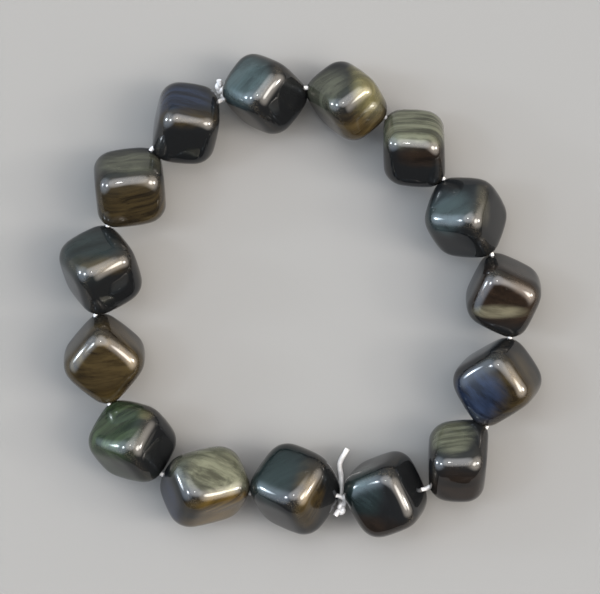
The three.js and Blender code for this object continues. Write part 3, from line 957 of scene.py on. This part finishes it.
cord_parts = []
for i, route in enumerate((first_length, second_length)):
    cord_parts.append(strand(f"cord_length_{i}", smooth_route(route), RING_STEP, STRETCHED_RADIUS))
for i, route in enumerate(TAILS):
    cord_parts.append(strand(f"cord_tail_{i}", smooth_route(route), TAIL_STEP, TAIL_RADIUS))
for i, (middle, after) in enumerate(((KNOT_NEAR, NEAR_KNOT_AFTER), (KNOT_FAR, FAR_KNOT_AFTER))):
    across = (neighbour(after)["middle"] - neighbour(after - 1)["middle"]).normalized()
    cord_parts.append(strand(f"cord_knot_{i}", trefoil(middle, across), KNOT_STEP))
print("the cord is made of", len(cord_parts), "strands")

# %% [markdown]
# The real cord is one piece, so its strands become one mesh in one object.

# %% One piece of cord
def joined(name, pieces):
    """One mesh from several, in one object."""
    with bpy.context.temp_override(active_object=pieces[0], selected_editable_objects=pieces):
        bpy.ops.object.join()
    pieces[0].name = name
    pieces[0].data.name = name
    return pieces[0]


cord = joined("elastic_cord_strung", cord_parts)
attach(cord, "root")
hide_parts("elastic_cord")
print("the cord has", len(cord.data.polygons), "faces")

# %% [markdown]
# The bracelet lies on a plain pale floor. The light in the room is strong, as polished glass needs
# it to be, so the floor's own colour is dark and still comes out pale in the picture.

# %% Floor
FLOOR_HALF = 1.5  # metres
FLOOR_CORNERS = ((-1, -1), (1, -1), (1, 1), (-1, 1))
FLOOR_COLOUR = (0.092, 0.0908, 0.09, 1)
FLOOR_ROUGHNESS = 0.9

floor_material, shader, wires = new_material("plain_floor")
wires.fill(shader, {"Base Color": FLOOR_COLOUR, "Roughness": FLOOR_ROUGHNESS})
corners = [(x * FLOOR_HALF, y * FLOOR_HALF, 0) for x, y in FLOOR_CORNERS]
floor_mesh = bpy.data.meshes.new("floor")
floor_mesh.from_pydata(corners, [], [(0, 1, 2, 3)])
floor_mesh.materials.append(floor_material)
floor = new_object("floor", floor_mesh)
print("the floor is", 2 * FLOOR_HALF, "m wide")

# %% [markdown]
# Polished glass shows the room more than itself, so the room matters. The light of a soft studio is
# drawn into the world as broad patches with no hard rim: a warm one on the right, a cool one on the
# left, one overhead, and a grey wall of light behind the far side. The near side stays dim, so the
# faces that lean to it stay black. Each patch's place is its angle from straight up and its angle
# round from +X, and its rim is how many degrees from there it has faded to nothing.

# %% The soft room
SOFT_PATCHES = [
    {"at": (40, -8), "rim": 14, "strength": 30, "colour": (1.0, 0.95, 0.88)},
    {"at": (46, -6), "rim": 44, "strength": 9.0, "colour": (1.0, 0.91, 0.8)},
    {"at": (41, 177), "rim": 9, "strength": 24, "colour": (0.85, 0.93, 1.0)},
    {"at": (54, 176), "rim": 46, "strength": 5.5, "colour": (0.7, 0.83, 1.0)},
    {"at": (68, 172), "rim": 9, "strength": 30, "colour": (0.8, 0.9, 1.0)},
    {"at": (58, -4), "rim": 9, "strength": 30, "colour": (1.0, 0.95, 0.88)},
    {"at": (14, 100), "rim": 36, "strength": 9, "colour": (0.97, 0.97, 0.98)},
]
LEFT_WALL = (0.62, 0.74, 0.78, 1)
RIGHT_WALL = (0.74, 0.69, 0.6, 1)
WALL_STRENGTH = 1.7
NEAR_SIDE = (0.12, 0.11, 0.1, 1)
WALL_BLEND = (-0.6, 0.6)  # where the left wall's tone passes into the right one's, along X
FAR_SIDE = (-0.15, 0.6)  # where the near side passes into the wall of light, along Y
WALL_RISE = (-0.1, 0.5)  # where the wall grows from its foot to its full strength, along Z
WALL_FOOT = 0.35
ROOM_STRENGTH = 0.85


def towards(from_top, azimuth):
    """The direction that is so many degrees from straight up, at so many degrees from +X."""
    across = math.sin(math.radians(from_top))
    turn = math.radians(azimuth)
    up = math.cos(math.radians(from_top))
    return Vector((across * math.cos(turn), across * math.sin(turn), up))


world = bpy.data.worlds.new("soft_room")
world.use_nodes = True
background = world.node_tree.nodes["Background"]
wires = Wires(world.node_tree)
look = wires.add("ShaderNodeTexCoord", out=0)
look_right, look_far, look_up = wires.split(look)
wall = mixed(wires, wires.ramped(look_right, *WALL_BLEND), LEFT_WALL, RIGHT_WALL)
rise = wires.ramped(look_up, *WALL_RISE, WALL_FOOT, 1.0)
far_wall = wires.number("MULTIPLY", wires.ramped(look_far, *FAR_SIDE), rise)
room = mixed(wires, far_wall, NEAR_SIDE, wires.scaled(wall, WALL_STRENGTH))
for soft in SOFT_PATCHES:
    nearness = wires.vector("DOT_PRODUCT", look, towards(*soft["at"]))
    glow = wires.ramped(nearness, math.cos(math.radians(soft["rim"])), 1.0)
    lit = wires.scaled(soft["colour"], wires.number("MULTIPLY", glow, soft["strength"]))
    room = wires.vector("ADD", room, lit)
wires.fill(background, {"Color": room, "Strength": ROOM_STRENGTH})
bpy.context.scene.world = world
print("the room has", len(SOFT_PATCHES), "soft patches of light")

# %% [markdown]
# A few small lamps stand in the same room. They are too small to light the floor, but each one
# leaves a hard white point on every polished edge that faces it. The picture's tones are kept as
# the lights give them, as a filmic tone would wash out the black of the stones.

# %% The small lamps
LAMP_DISTANCE = 1.2  # metres
LAMP_BRIGHTNESS = 90  # of a lamp's face, whatever its radius
LAMPS = {
    "lamp_warm": {"at": (57, -4), "radius": 0.06, "colour": (1.0, 0.95, 0.86)},
    "lamp_cool": {"at": (68, 172), "radius": 0.06, "colour": (0.86, 0.95, 1.0)},
    "lamp_cool_high": {"at": (41, 176), "radius": 0.045, "colour": (0.86, 0.95, 1.0)},
    "lamp_overhead": {"at": (14, 120), "radius": 0.04, "colour": (1.0, 1.0, 0.98)},
}


def small_lamp(name, at, radius, colour):
    """A round lamp that is equally bright at any radius, turned to the origin."""
    data = bpy.data.lights.new(name, "AREA")
    data.shape = "DISK"
    data.size = 2 * radius
    data.energy = LAMP_BRIGHTNESS * math.pi * math.pi * radius * radius
    data.color = colour
    light = new_object(name, data)
    facing = towards(*at)
    light.location = facing * LAMP_DISTANCE
    light.rotation_euler = (-facing).to_track_quat("-Z", "Y").to_euler()
    light.visible_camera = False


for name, lamp in LAMPS.items():
    small_lamp(name, **lamp)
bpy.context.scene.view_settings.view_transform = "Standard"

# %% [markdown]

# %% [markdown]
